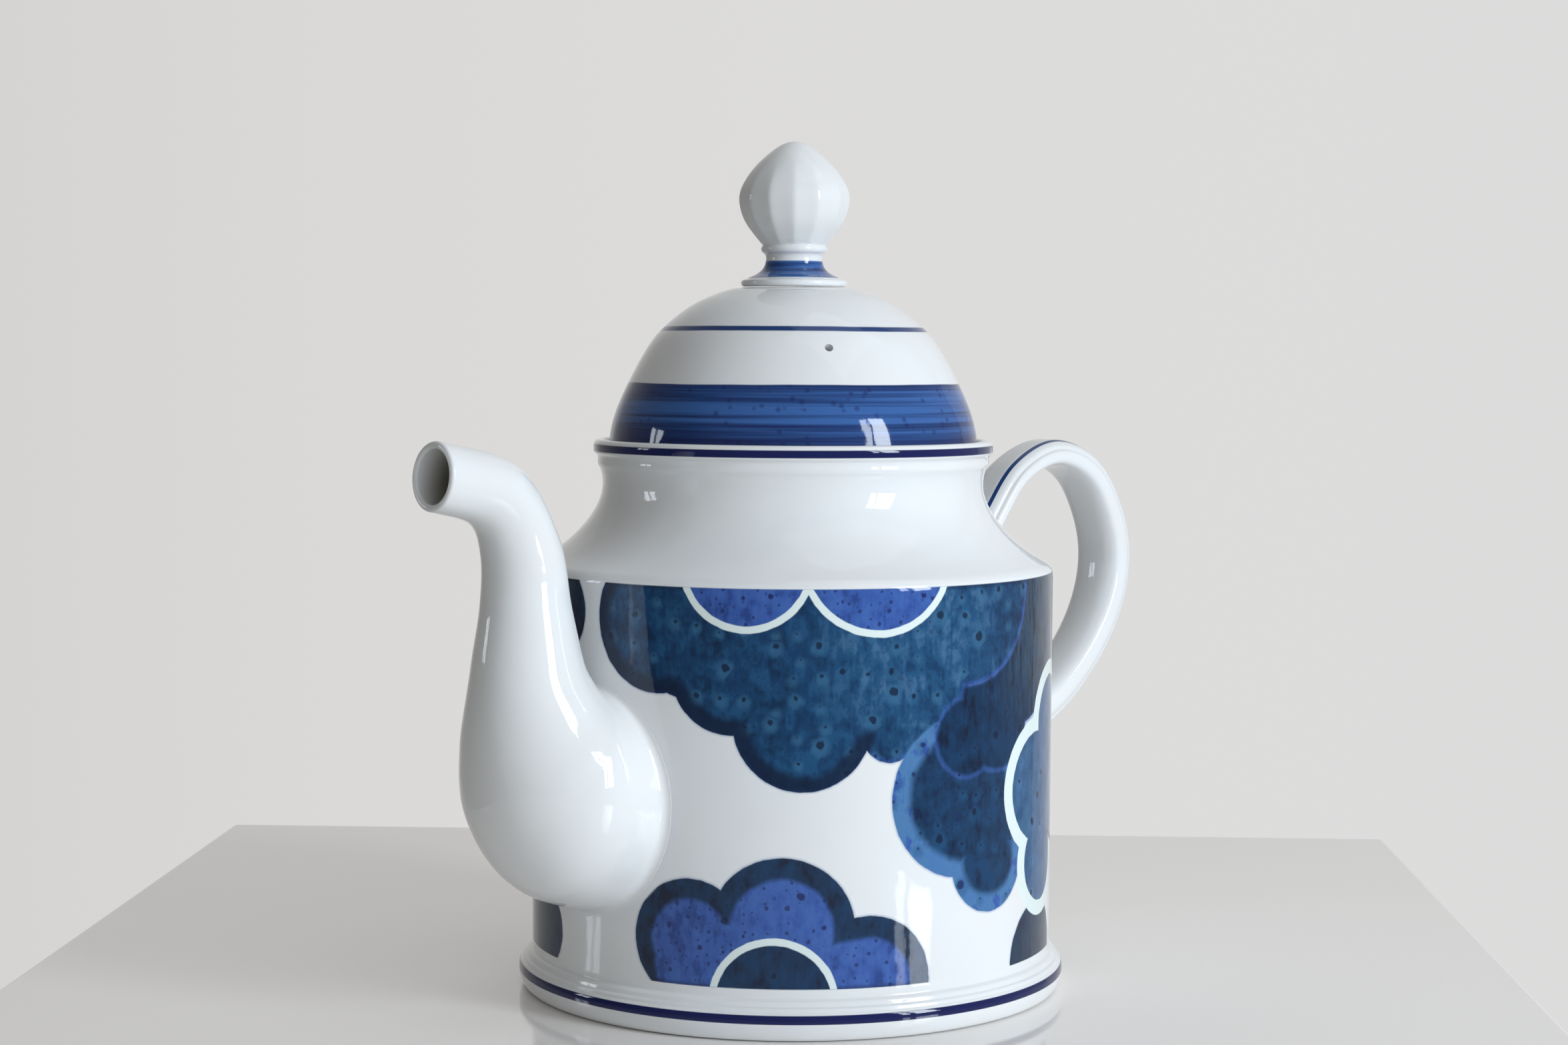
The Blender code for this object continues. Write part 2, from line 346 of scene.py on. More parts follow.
def wallFills(bench, flat, folded, drips):
    # pools of thin and thick glaze, drawn a little downwards
    pools = bench.noise(1.0, 4.0, 0.6, bench.stretch((300, 300, 210)))
    broad = bench.noise(70, 2.0)
    thin = pools * 0.62 + drips * 0.16 + broad * 0.22
    dots = Dots(bench, flat, wallPaint["dotSpacing"])
    small = Dots(bench, flat, wallPaint["dotSpacing"] * wallPaint["smallDots"])

    def pooled(deep, middle, light, share=0.85):
        under = bench.mix(thin.above(0.445, 0.10), paint[deep], paint[middle])
        return bench.mix(thin.above(0.545, 0.11) * share, under, paint[light])

    def pitted(marks, colours, ring, core, ringShare, coreShare=0.85):
        ringed = bench.mix(marks.ring * ringShare, colours, paint[ring])
        return bench.mix(marks.core * coreShare, ringed, paint[core])

    # the paint is paler to the right of the big cloud
    pale = spot(bench, folded, *wallPaint["paleSpot"])
    teal = bench.mix(pale * 0.85, pooled("deepTeal", "teal", "lightTeal"),
                     pooled("teal", "lightTeal", "hazeTeal"))
    teal = pitted(small, teal, "lightTeal", "deepTeal", 0.40, 0.45)
    core = pooled("inkTeal", "deepTeal", "teal")
    core = pitted(small, core, "teal", "inkTeal", 0.40, 0.45)
    night = pooled("inkTeal", "deepTeal", "teal", 0.6)
    blue = pooled("deepBlue", "periwinkle", "lightBlue", 0.6)
    blue = pitted(small, blue, "lightBlue", "navy", 0.25, 0.7)
    sky = pooled("periwinkle", "skyBlue", "lightBlue", 0.3)
    grey = pooled("lightTeal", "greyBlue", "paleTeal", 0.6)
    return {
        "teal": pitted(dots, teal, "paleTeal", "inkTeal", 0.55),
        "core": pitted(dots, core, "lightTeal", "inkTeal", 0.5),
        "night": pitted(dots, night, "teal", "inkTeal", 0.4),
        "blue": pitted(dots, blue, "lightBlue", "navy", 0.35),
        "sky": pitted(dots, sky, "lightTeal", "navy", 0.4, 0.8),
        "grey": pitted(dots, grey, "skyBlue", "inkTeal", 0.4),
        "leaf": pooled("inkTeal", "deepTeal", "brownTeal"),
    }


def wallGlaze():
    p = wallPaint
    bench = Bench(bpy.data.materials.new("wall_glaze"))
    x = bench.split(bench.place, 0) - axisX
    y = bench.split(bench.place, 1)
    height = bench.split(bench.place, 2)
    side = y.maths("SIGN")
    folded = bench.join(x * side, y * side, height)
    flat = bench.join(y.maths("ARCTAN2", x) * wallRadius, height, 0.0)
    drips = bench.noise(1.0, 2.0, 0.5, bench.stretch((1100, 1100, 170), (3, 1, 7)))
    fills = wallFills(bench, flat, folded, drips)
    fuzz = (bench.noise(420, 2.0) - 0.5) * (p["fuzz"] * mm)
    waver = (bench.noise(150, 2.0) - 0.5) * (p["waver"] * mm)
    crisp = p["crisp"] * mm
    thinLine = p["thinLine"] * mm
    out = radiusFromAxis(bench)

    def heights(name, soft):
        bottom, top = p[name]
        return height.between(bottom * mm, top * mm, soft)

    inField = heights("field", crisp) * out.above(p["fieldFrom"] * mm, 0.0004)

    def shape(name):
        return union(bench, folded, p[name]) + fuzz

    # the glaze is painted from the back layer to the front one
    picture = whiteGround(bench)

    def lay(mask, fill, share=1.0):
        nonlocal picture
        picture = bench.mix(mask * inField * share, picture, fill)

    def bleed(edge):
        lay(edge.below(0.00035, 0.0006), paint["skyBlue"], 0.35)

    def masked(edge, outside, inside, fill):
        # a fill inside a line of bare white
        lay(edge.below(outside, crisp), paint["reserve"])
        lay(edge.below(-inside, crisp), fill)

    # the big cloud's edge is dark along its lobes and blue elsewhere
    lobes = shape("bigCloud")
    big = lobes.lower(shape("bigCloudFill"))
    bigInside = big.below(0, crisp)
    bleed(big)
    lay(bigInside, fills["teal"])
    lay(bigInside * lobes.above(-0.0004, 0.001) * big.above(-0.0009, 0.0012), fills["blue"], 0.5)
    lay(bigInside * (big + waver).above(-0.0036, 0.0026) * lobes.below(0.001, 0.002),
        paint["inkTeal"], 0.85)

    right = shape("rightCloud")
    bleed(right)
    lay(right.below(0, crisp), fills["sky"])
    lay((shape("rightCloudCore") + waver).below(0, 0.0024), fills["core"], 0.95)

    # an opaque undercoat, a blue contour, the dark fill, and a stain towards the handle
    dark = shape("darkCloud").higher(0 - shape("cap"))
    darkInside = dark.below(-0.0003, 0.0012)
    lay(dark.below(0, crisp), fills["teal"])
    lay(dark.below(0.0007, 0.0009), fills["blue"], 0.5)
    lay(darkInside, fills["night"])
    stained = spot(bench, folded, *p["stainSpot"])
    lay(darkInside * stained * drips.above(0.45, 0.34), paint["mistTeal"], 0.6)

    leaf = shape("leaves")
    bleed(leaf)
    lay(leaf.below(0, crisp), fills["leaf"])

    masked(shape("islands"), 0.0018, 0.0017, fills["grey"])

    low = shape("lowCloud")
    bleed(low)
    lay(low.below(0, crisp), fills["night"])
    lay((shape("lowCloudCore") + waver * 0.5).below(0, 0.0016), fills["blue"])

    moon = shape("lowMoon")
    masked(moon, thinLine, thinLine, fills["night"])
    moons = shape("topMoons")
    masked(moons, thinLine, thinLine, fills["blue"])

    # the paint is darker along the field's top and bottom edges
    clear = moon.above(thinLine, crisp) * moons.above(0.0009, crisp)
    painted = big.lower(right).lower(low).lower(leaf).below(0, crisp) * clear
    edgeLine = inField * (1 - heights("edgeLine", 0.0010))
    picture = bench.mix(edgeLine * painted * 0.5, picture, paint["inkTeal"])

    rootHeight, rootRadius = p["spoutRoot"]
    rootAway = bench.distance(bench.place, (axisX + wallRadius, 0, rootHeight * mm))
    picture = bench.mix(rootAway.below(rootRadius * mm, 0.001), picture, paint["white"])

    lines = heights("footLine", 0.0002).higher(heights("rimLine", 0.00022))
    picture = bench.mix(lines * out.above(p["linesFrom"] * mm, 0.0004), picture, paint["navy"])
    return bench.glaze(picture)


def brushed(bench, along, across):
    # cobalt laid on a turning pot: streaks that run round it
    fine = bench.noise(1.0, 3.0, 0.6, bench.stretch((along, along, across)))
    wide = bench.noise(1.0, 2.0, 0.5, bench.stretch((along / 2, along / 2, 260), (2, 5, 1)))
    streaks = fine * 0.6 + wide * 0.4
    base = bench.mix(streaks.above(0.53, 0.14), paint["cobalt"], paint["lightCobalt"])
    return bench.mix(streaks.below(0.445, 0.10) * 0.7, base, paint["navy"])


lidPaint = {
    "band": (0.1290, 0.1446),       # heights in metres
    "bandMiddle": (0.1325, 0.1436), # more colour gathers outside these heights
    "bandFrom": 0.0386,             # distance from the axis: the inside of the lid stays white
    "line": (0.15680, 0.15790),
    "lineFrom": 0.0292,
    "knobBand": (0.1696, 0.1736),
    "spots": 330,
}


def lidGlaze():
    p = lidPaint
    bench = Bench(bpy.data.materials.new("lid_glaze"))
    waver = (bench.noise(60, 1.0) - 0.5) * 0.0004
    height = bench.split(bench.place, 2) + waver
    out = radiusFromAxis(bench)
    band = brushed(bench, 9, 800)
    gathered = 1 - height.between(*p["bandMiddle"], 0.0014)
    band = bench.mix(gathered * 0.5, band, paint["navy"])
    spots = bench.cells(p["spots"]) / p["spots"]
    band = bench.mix(spots.below(0.0006, 0.0006) * 0.5, band, paint["navy"])
    wide = height.between(*p["band"], 0.0003) * out.above(p["bandFrom"], 0.0004)
    thin = height.between(*p["line"], 0.0003) * out.above(p["lineFrom"], 0.0004)
    picture = bench.mix(wide, whiteGround(bench), band)
    picture = bench.mix(thin, picture, paint["cobalt"])
    return bench.glaze(picture)


def knobGlaze():
    bench = Bench(bpy.data.materials.new("knob_glaze"))
    waist = bench.split(bench.place, 2).between(*lidPaint["knobBand"], 0.0003)
    return bench.glaze(bench.mix(waist, whiteGround(bench), brushed(bench, 40, 1500)))


def spoutGlaze():
    bench = Bench(bpy.data.materials.new("white_glaze"))
    inside = bench.node("ShaderNodeAttribute", {"attribute_name": "channel"}, None, "Fac")
    # the channel inside the spout is coloured darker: painted shade
    return bench.glaze(bench.mix(inside.above(0.5, 1.0), whiteGround(bench), paint["channel"]))


def handleGlaze():
    bench = Bench(bpy.data.materials.new("handle_glaze"))
    across = bench.split(bench.place, 1)
    outer = bench.node("ShaderNodeAttribute", {"attribute_name": "outerFace"}, None, "Fac")
    low, high = handle["line"]
    line = across.between(low * mm, high * mm, 0.0002) * outer.above(0.5, 0.2)
    return bench.glaze(bench.mix(line, whiteGround(bench), paint["cobalt"]))


shaping = {
    "latheWeld": 2e-6,          # points closer than this become one
    "sleeveWeld": 1e-6,
    "closest": 1e-4,            # mm between the points of a rounded outline
    "sharpFrom": 40,            # degrees
    "drillSides": 32,
    "halvings": 26,
    "stride": 0.002,            # share of a piece's length that a fillet's search steps by
    "hair": 0.0004,
    "tuck": 0.0012,             # how deep the first row of a fillet sits in the pot's wall
}


def bend(start, corner, end, t):
    return start * (1 - t) ** 2 + corner * 2 * t * (1 - t) + end * t * t


def rounded(corners, steps=5):
    # each corner is (radius, height) or (radius, height, reach of its rounding) in mm
    points = [corners[0][:2]]
    for before, corner, after in zip(corners, corners[1:], corners[2:]):
        here = Vector(corner[:2])
        reach = corner[2] if len(corner) > 2 else math.inf
        back, on = Vector(before[:2]) - here, Vector(after[:2]) - here
        start = here + back * min(reach / back.length, 0.5)
        end = here + on * min(reach / on.length, 0.5)
        for k in range(steps + 1):
            point = bend(start, here, end, k / steps)
            if (point - Vector(points[-1])).length > shaping["closest"]:
                points.append((point.x, point.y))
    points.append(corners[-1][:2])
    return points


def turned(outline, steps):
    bm = bmesh.new()
    verts = [bm.verts.new((axisX + r * mm, 0, z * mm)) for r, z in outline]
    edges = [bm.edges.new(pair) for pair in zip(verts, verts[1:])]
    if outline[0][0] > 0:
        edges.append(bm.edges.new((verts[-1], verts[0])))
    bmesh.ops.spin(bm, geom=verts + edges, cent=(axisX, 0, 0), axis=(0, 0, 1),
                   angle=math.tau, steps=steps, use_merge=True)
    bmesh.ops.remove_doubles(bm, verts=bm.verts, dist=shaping["latheWeld"])
    bmesh.ops.recalc_face_normals(bm, faces=bm.faces)
    return bm


def sleeve(rows, columns, place, mark, markName):
    # a sheet rolled into a tube: place(along, turn) gives each point and mark(along, turn) the
    # attribute that its glaze reads, with along and turn both from 0 to 1
    bm = bmesh.new()
    bmesh.ops.create_grid(bm, x_segments=rows, y_segments=columns, size=1)
    layer = bm.verts.layers.float.new(markName)
    for vert in bm.verts:
        along, turn = (vert.co.x + 1) / 2, (vert.co.y + 1) / 2
        vert.co = place(along, turn)
        vert[layer] = mark(along, turn)
    bmesh.ops.remove_doubles(bm, verts=bm.verts, dist=shaping["sleeveWeld"])
    return bm


def asPiece(name, bm, material, body, slot, *nodes):
    mesh = bpy.data.meshes.new(name)
    bm.to_mesh(mesh)
    bm.free()
    mesh.shade_smooth()
    mesh.materials.append(material)
    obj = bpy.data.objects.new(name, mesh)
    bpy.context.scene.collection.objects.link(obj)
    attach(obj, body)
    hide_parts(*nodes)
    print("made", name, "with", len(mesh.polygons), "faces")
    return obj


def catmull(stations, t):
    points = [[2 * a - b for a, b in zip(stations[0], stations[1])], *stations,
              [2 * a - b for a, b in zip(stations[-1], stations[-2])]]
    spans = len(stations) - 1
    k = min(int(t * spans), spans - 1)
    t = t * spans - k
    return [0.5 * (2 * b + (c - a) * t + (2 * a - 5 * b + 4 * c - d) * t * t
                   + (3 * b - a - 3 * c + d) * t ** 3)
            for a, b, c, d in zip(*points[k:k + 4])]


pot = {
    "turns": 224,
    "foot": [(0.0, 2.6), (53.0, 2.6, 1.2), (55.0, 1.6, 0.8), (55.6, 0.0, 0.3)],
    "outside": [
        (62.9, 0.0, 0.5), (64.3, 0.35), (65.1, 1.5), (65.66, 3.2), (65.68, 5.2), (65.35, 6.3),
        (64.75, 6.75, 0.2), (64.6, 7.5, 0.35), (63.95, 7.75, 0.2), (63.6, 8.8, 0.4),
        (62.6, 9.3, 0.3), (62.45, 11.0, 0.6), (62.5, 99.0, 1.0), (62.35, 100.5, 0.7),
        (61.3, 101.75, 0.9), (59.6, 102.75), (56.7, 104.6), (53.8, 106.9), (51.2, 109.35),
        (48.9, 112.1), (47.0, 115.1), (45.85, 118.3), (45.65, 121.4), (46.2, 123.9),
        (47.0, 125.2), (46.85, 126.4), (47.0, 127.3), (47.9, 127.95, 0.5), (47.95, 129.9, 0.5),
        (47.3, 130.9, 0.5),
    ],
    "rim": [(46.2, 131.1, 0.6), (45.2, 130.8, 0.5), (44.95, 129.6), (44.95, 128.5, 0.4)],
    "inside": [
        (41.9, 128.5, 0.5), (41.5, 127.6), (41.5, 119.0), (42.6, 114.6), (45.6, 110.4),
        (49.6, 106.4), (54.6, 102.6), (57.6, 99.2), (58.5, 95.0), (58.5, 17.0), (57.2, 11.2),
        (52.0, 7.9), (45.0, 7.0), (0.0, 7.0),
    ],
    "strainerRadius": 2.5,
    "strainerRing": 10.5,
    "strainerHoles": 6,         # round the ring, with one more in its middle
    "strainerHeight": 50.6,
    "wallMiddle": 60.0,
    "drillLength": 14.0,
}

potOutside = rounded(pot["foot"][-1:] + pot["outside"] + pot["rim"][:1])


def potRadius(height):
    # outside radius of the pot at a height, both in metres
    z = height / mm
    for (r0, z0), (r1, z1) in zip(potOutside, potOutside[1:]):
        if z0 <= z <= z1 and z1 > z0:
            return (r0 + (r1 - r0) * (z - z0) / (z1 - z0)) * mm
    return 0.0


def withRows(outline, longest):
    # long straight runs get extra rows, so that later cuts stay local
    points = [outline[0]]
    for a, b in zip(outline, outline[1:]):
        parts = max(1, round(math.dist(a, b) / longest))
        points += [(a[0] + (b[0] - a[0]) * k / parts, a[1] + (b[1] - a[1]) * k / parts)
                   for k in range(1, parts + 1)]
    return points


def addDrill(drills, radius, length, place):
    bmesh.ops.create_cone(drills, cap_ends=True, segments=shaping["drillSides"],
                          depth=length * mm, radius1=radius * mm, radius2=radius * mm,
                          matrix=place)


def pierce(obj, drills):
    # cuts the drills out of a piece for good, so that no cutter is left in the scene
    mesh = bpy.data.meshes.new("drills")
    drills.to_mesh(mesh)
    drills.free()
    cutter = bpy.data.objects.new("drills", mesh)
    bpy.context.scene.collection.objects.link(cutter)
    cut = obj.modifiers.new("pierce", "BOOLEAN")
    cut.operation = "DIFFERENCE"
    cut.solver = "EXACT"
    cut.object = cutter
    bpy.context.view_layer.update()
    shaped = obj.evaluated_get(bpy.context.evaluated_depsgraph_get())
    done = bpy.data.meshes.new_from_object(shaped)
    obj.modifiers.clear()
    done.shade_smooth()
    done.set_sharp_from_angle(angle=math.radians(shaping["sharpFrom"]))
    done.name = obj.name
    obj.data = done
    bpy.data.objects.remove(cutter)


def makePot(p):
    corners = p["foot"] + p["outside"] + p["rim"] + p["inside"]
    bm = turned(withRows(rounded(corners), 4.0), p["turns"])
    obj = asPiece("pot_shell", bm, wallGlaze(), "pot", "body_glaze", "pot_body")
    drills = bmesh.new()
    turns = [math.tau * k / p["strainerHoles"] for k in range(p["strainerHoles"])]
    spots = [(0, 0)] + [(p["strainerRing"] * math.cos(a), p["strainerRing"] * math.sin(a))
                        for a in turns]
    lying = Matrix.Rotation(math.pi / 2, 4, "Y")
    for y, z in spots:
        place = Matrix.Translation((axisX + p["wallMiddle"] * mm, y * mm,
                                    (p["strainerHeight"] + z) * mm))
        addDrill(drills, p["strainerRadius"], p["drillLength"], place @ lying)
    pierce(obj, drills)


makePot(pot)


def stepsOut(point):
    return math.hypot(point.x - axisX, point.y) - potRadius(point.z)


def crossing(line, outside):
    # where a line, given as a function, leaves the pot's outside surface between 0 and outside
    inside = 0.0
    for _ in range(shaping["halvings"]):
        middle = (inside + outside) / 2
        if stepsOut(line(middle)) < 0:
            inside = middle
        else:
            outside = middle
    return outside


def ontoPot(point):
    a = math.atan2(point.y, point.x - axisX)
    r = potRadius(point.z)
    return Vector((axisX + r * math.cos(a), r * math.sin(a), point.z))


def fillet(line, leave, centre, reach):
    # a soft fillet round a line's crossing with the pot: how far along the line it ends, and its
    # points on the pot, at the crossing and on the line, with the pot's outward normal
    step = shaping["stride"]
    while (line(leave + step) - line(leave)).length < reach:
        step += shaping["stride"]
    cross = line(leave)
    a = math.atan2(cross.y, cross.x - axisX)
    hair = Vector((0, 0, shaping["hair"]))
    upward = (ontoPot(cross + hair) - ontoPot(cross - hair)).normalized()
    normal = Vector((-math.sin(a), math.cos(a), 0)).cross(upward).normalized()
    away = cross - centre
    away = (away - normal * away.dot(normal)).normalized()
    return leave + step, (ontoPot(cross + away * reach), cross, line(leave + step), normal)


def filletPoint(root, t, tucked):
    # t runs from 0, inside the pot's wall, to 1, on the piece
    foot, cross, start, normal = root
    if t < tucked:
        return foot - normal * shaping["tuck"] * (1 - t / tucked)
    return bend(foot, cross, start, (t - tucked) / (1 - tucked))


spout = {
    "rows": 150,
    "columns": 72,
    "chords": [  # lower side (out, up), upper side (out, up)
        (44.0, 24.8, 44.0, 76.4), (60.0, 24.6, 58.0, 76.6), (79.0, 30.5, 63.2, 76.9),
        (90.3, 45.0, 64.2, 77.6), (93.5, 62.0, 65.0, 79.2), (92.0, 81.0, 66.8, 83.5),
        (90.0, 95.0, 69.4, 95.0), (90.0, 106.5, 72.8, 111.5), (93.6, 113.8, 83.5, 127.0),
        (105.6, 117.2, 104.8, 132.8),
    ],
    "rootWall": 4.6,
    "lipWall": 1.7,
    "rootPinch": 3.4,       # how much narrower the root is on each side
    "fillet": 1.7,
    "tip": 0.993,           # where the lip starts to turn over
    "sunk": 0.006,          # how far the channel's end is let into the pot's wall
    "rootHeight": 50.6,
    "crossBefore": 0.62,    # the outside and the channel leave the pot before this
    "pinchFrom": 0.10,
    "pinchOver": 0.20,
    # shares of the tube's rows, from the root's fillet to the channel's inner end
    "filletTo": 0.14,
    "tucked": 1 / 7,
    "outsideTo": 0.60,
    "lipTo": 0.66,
    "lipFullness": 0.9,
    "channelFrom": 0.65,    # where the painted shade inside the channel starts, and over how much
    "channelOver": 0.04,
}


def spoutPoint(t, turn, wall):
    lowX, lowZ, highX, highZ = catmull(spout["chords"], t)
    low, high = Vector((lowX, 0, lowZ)), Vector((highX, 0, highZ))
    up = (high - low).normalized()
    radius = (high - low).length / 2 - wall
    far = min(max((t - spout["pinchFrom"]) / spout["pinchOver"], 0.0), 1.0)
    sideways = radius - spout["rootPinch"] * (1 - far * far * (3 - 2 * far))
    a = math.tau * turn
    point = (low + high) / 2 + up * radius * math.cos(a) + Vector((0, sideways * math.sin(a), 0))
    return Vector((axisX, 0, 0)) + point * mm


def makeSpout(s):
    centre = Vector((axisX + wallRadius, 0, s["rootHeight"] * mm))
    known = {}

    def ends(turn):
        key = round(turn, 5)
        if key not in known:
            def outer(t):
                return spoutPoint(t, turn, 0)

            def channel(t):
                return spoutPoint(t, turn, s["rootWall"])

            leave = crossing(outer, s["crossBefore"])
            enter = crossing(channel, s["crossBefore"]) - s["sunk"]
            known[key] = (enter, *fillet(outer, leave, centre, s["fillet"] * mm))
        return known[key]

    def place(along, turn):
        turn = turn % 1.0
        enter, begin, root = ends(turn)
        if along < s["filletTo"]:
            return filletPoint(root, along / s["filletTo"], s["tucked"])
        if along < s["outsideTo"]:
            t = (along - s["filletTo"]) / (s["outsideTo"] - s["filletTo"])
            return spoutPoint(begin + (s["tip"] - begin) * t, turn, 0)
        if along < s["lipTo"]:   # the lip turns over in a half circle
            a = math.pi * (along - s["outsideTo"]) / (s["lipTo"] - s["outsideTo"])
            half = s["lipWall"] / 2
            lip = spoutPoint(s["tip"], turn, half - half * math.cos(a))
            return lip + Vector((half * s["lipFullness"] * mm * math.sin(a), 0, 0))
        t = 1 - (along - s["lipTo"]) / (1 - s["lipTo"])
        wall = s["rootWall"] + (s["lipWall"] - s["rootWall"]) * t
        return spoutPoint(enter + (s["tip"] - enter) * t, turn, wall)

    def mark(along, turn):
        return (along - s["channelFrom"]) / s["channelOver"]

    bm = sleeve(s["rows"], s["columns"], place, mark, "channel")
    bmesh.ops.bridge_loops(bm, edges=[e for e in bm.edges if e.is_boundary])
    bmesh.ops.recalc_face_normals(bm, faces=bm.faces)
    asPiece("spout_tube", bm, spoutGlaze(), "pot", "white_glaze", "spout")


makeSpout(spout)


handle = {
    "rows": 150,
    "width": 14.6,
    "stations": [  # out from the axis, up, thickness
        (57.0, 97.5, 5.8), (65.5, 110.8, 5.6), (75.0, 121.4, 5.8), (89.0, 125.9, 7.2),
        (103.4, 119.8, 8.9), (112.3, 103.5, 10.2), (111.0, 87.4, 10.4),
        (101.0, 71.8, 10.2), (84.2, 58.8, 10.4), (56.0, 49.6, 11.6),
    ],
    # half of the strap's section, as shares of its thickness and half width: a flat face that
    # rolls over at the painted line, a groove, a bead, and a rounded underside
    "section": [
        (0.50, 0.0), (0.50, 0.37), (0.47, 0.47), (0.415, 0.60), (0.35, 0.72), (0.27, 0.80),
        (0.195, 0.825), (0.14, 0.86), (0.12, 0.94), (0.02, 1.0), (-0.10, 1.01), (-0.27, 1.0),
        (-0.37, 0.90), (-0.46, 0.64), (-0.50, 0.34), (-0.51, 0.0),
    ],
    "line": (3.05, 4.15),       # from the middle of the strap
    "fillet": 1.8,
    "roots": [(59.6, 102.4), (62.5, 52.6)],     # middles of the upper and lower root: out, up
    "crossBefore": 0.2,
    "filletShare": 0.07,        # share of the rows that each root's fillet takes
    "tucked": 0.15,
    "lookAhead": 0.004,
    "outerFrom": 0.25,          # share of the thickness from which a point is on the outer face
}


def handleSection():
    half = rounded([(a, b) for a, b in handle["section"]], 3)
    return half + [(a, -b) for a, b in reversed(half[1:-1])]


strapSection = handleSection()


def handlePoint(t, corner):
    out, up, thick = catmull(handle["stations"], t)
    ahead = catmull(handle["stations"], min(t + handle["lookAhead"], 1.0))
    behind = catmull(handle["stations"], max(t - handle["lookAhead"], 0.0))
    run = Vector((ahead[0] - behind[0], 0, ahead[1] - behind[1])).normalized()
    through, across = strapSection[corner]
    outwards = Vector((run.z, 0, run.x))
    return (Vector((axisX, 0, 0)) + Vector((-out, across * handle["width"] / 2, up)) * mm
            + outwards * through * thick * mm)


def makeHandle(h):
    corners = len(strapSection)
    centres = [Vector((axisX - out * mm, 0, up * mm)) for out, up in h["roots"]]
    known = {}

    def cornerOf(turn):
        return round(turn * corners) % corners

    def ends(corner):
        if corner not in known:
            def upper(t):
                return handlePoint(t, corner)

            def lower(t):
                return handlePoint(1 - t, corner)

            known[corner] = [fillet(line, crossing(line, h["crossBefore"]), centre,
                                    h["fillet"] * mm)
                             for line, centre in zip((upper, lower), centres)]
        return known[corner]

    def place(along, turn):
        corner = cornerOf(turn)
        (fromUpper, upperRoot), (fromLower, lowerRoot) = ends(corner)
        share = h["filletShare"]
        if along < share:
            return filletPoint(upperRoot, along / share, h["tucked"])
        if along > 1 - share:
            return filletPoint(lowerRoot, (1 - along) / share, h["tucked"])
        t = (along - share) / (1 - 2 * share)
        return handlePoint(fromUpper + (1 - fromLower - fromUpper) * t, corner)

    def mark(along, turn):   # the outer face carries the painted line
        return 1.0 if strapSection[cornerOf(turn)][0] > h["outerFrom"] else 0.0

    bm = sleeve(h["rows"], corners, place, mark, "outerFace")
    bmesh.ops.holes_fill(bm, edges=[e for e in bm.edges if e.is_boundary])
    bmesh.ops.recalc_face_normals(bm, faces=bm.faces)
    asPiece("handle_strap", bm, handleGlaze(), "pot", "handle_glaze", "handle")


makeHandle(handle)


lid = {
    "turns": 224,
    "inside": [
        (0.0, 163.0), (14.0, 162.4), (22.0, 160.0), (28.6, 155.4), (33.8, 148.0),
        (37.2, 139.4), (37.9, 132.0), (37.9, 119.0), (38.3, 117.9, 0.5), (40.5, 117.9, 0.5),
        (40.9, 119.0), (40.9, 127.6), (41.2, 128.82, 0.5), (43.6, 128.82, 0.4),
    ],
    "outside": [
        (44.15, 129.3), (44.15, 131.2), (43.55, 134.6), (42.6, 137.8), (41.3, 141.0),
        (39.6, 144.6), (37.1, 149.6), (33.9, 154.9), (30.9, 158.1), (27.0, 161.4), (22.6, 164.2),
        (17.7, 166.2), (15.0, 167.0), (12.9, 167.3), (0.0, 167.3),
    ],
    "steamTurn": 61.3,
    "steamOut": 33.4,
    "steamUp": 152.0,
    "steamRadius": 1.0,
    "steamSlope": 58,           # degrees between the hole and upright
    "drillLength": 16.0,
}


def makeLid(d):
    bm = turned(withRows(rounded(d["inside"] + d["outside"]), 1.2), d["turns"])
    obj = asPiece("lid_dome", bm, lidGlaze(), "lid", "lid_glaze", "lid")
    drill = bmesh.new()
    turn = Matrix.Rotation(math.radians(d["steamTurn"]), 4, "Z")
    slope = Matrix.Rotation(math.radians(d["steamSlope"]), 4, "Y")
    place = (Matrix.Translation((axisX, 0, 0)) @ turn
             @ Matrix.Translation((d["steamOut"] * mm, 0, d["steamUp"] * mm)) @ slope)
    addDrill(drill, d["steamRadius"], d["drillLength"], place)
    pierce(obj, drill)


makeLid(lid)


knob = {
    "turns": 224,
    "outline": [
        (0.0, 167.5), (12.2, 167.5, 0.3), (12.7, 167.9), (12.75, 168.7), (12.3, 169.15),
        (11.4, 169.3, 0.2), (10.9, 169.7, 0.3), (9.2, 170.4), (7.9, 171.3), (7.1, 172.4),
        (6.8, 173.6), (6.7, 174.6), (7.0, 175.3), (7.7, 175.75), (7.98, 176.4),
        (7.85, 177.0), (7.55, 177.35, 0.15), (8.3, 178.1), (9.3, 179.3), (10.3, 180.5),
        (11.6, 182.2), (12.7, 184.3), (13.4, 186.9), (13.5, 189.0), (12.9, 191.1),
        (11.8, 193.1), (10.4, 195.1), (8.5, 197.2), (6.4, 199.1), (4.0, 200.9), (1.9, 201.95),
        (0.0, 202.2),
    ],
    "flutes": 14,
    "fluteDepth": 0.34,
    "ridgeAt": 48.0,        # degrees round from the spout
    "fluteFrom": 177.6,
    "fluteTo": 202.2,
    "fadeRate": 1.15,       # the flutes fade out towards the knob's foot and top
    "fadeStart": 0.12,
    "fadePower": 0.7,
    "ridgeSoftness": 0.05,
    "hollowFrom": 0.22,
}


